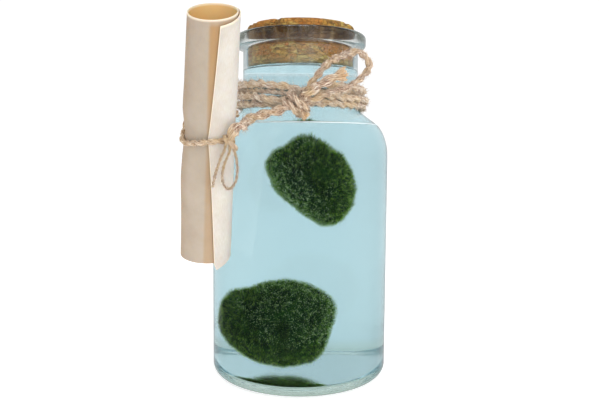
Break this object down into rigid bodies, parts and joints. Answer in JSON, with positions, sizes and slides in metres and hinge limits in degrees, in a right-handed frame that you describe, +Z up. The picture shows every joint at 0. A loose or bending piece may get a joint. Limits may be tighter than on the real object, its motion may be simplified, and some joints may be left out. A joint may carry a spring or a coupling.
{
  "type": "marimo moss ball in a corked bottle",
  "caption": "Marimo moss balls in a corked clear glass bottle of water, with a jute twine tie and a rolled paper scroll.",
  "frame": {"origin": "centre of the flat base, where the bottle rests", "axes": "+Z up along the bottle, -Y towards the front, +X to the right seen from the front"},
  "size_m": [0.0724, 0.0893, 0.13],
  "materials": {
    "glass": "clear soda glass, thick base, faint green-grey in the depth",
    "water": "clear still water with a light blue cast",
    "cork": "pressed cork granules with dark pits",
    "moss": "velvety filamentous green alga",
    "jute": "two-ply hairy jute twine",
    "paper": "matt parchment-like paper"
  },
  "bodies": {
    "root": {"glass_bottle": "glass", "cork_stopper": "cork", "water_front": "water", "water_back": "water", "moss_ball_upper": "moss", "moss_ball_lower": "moss", "neck_twine": "jute", "twine_knot": "jute", "bow_loop": "jute", "twine_cut_end": "jute", "scroll_lead": "jute", "scroll_tie": "jute", "scroll_knot": "jute", "small_tail": "jute", "small_loop": "jute", "paper_scroll": "paper"}
  },
  "joints": []
}
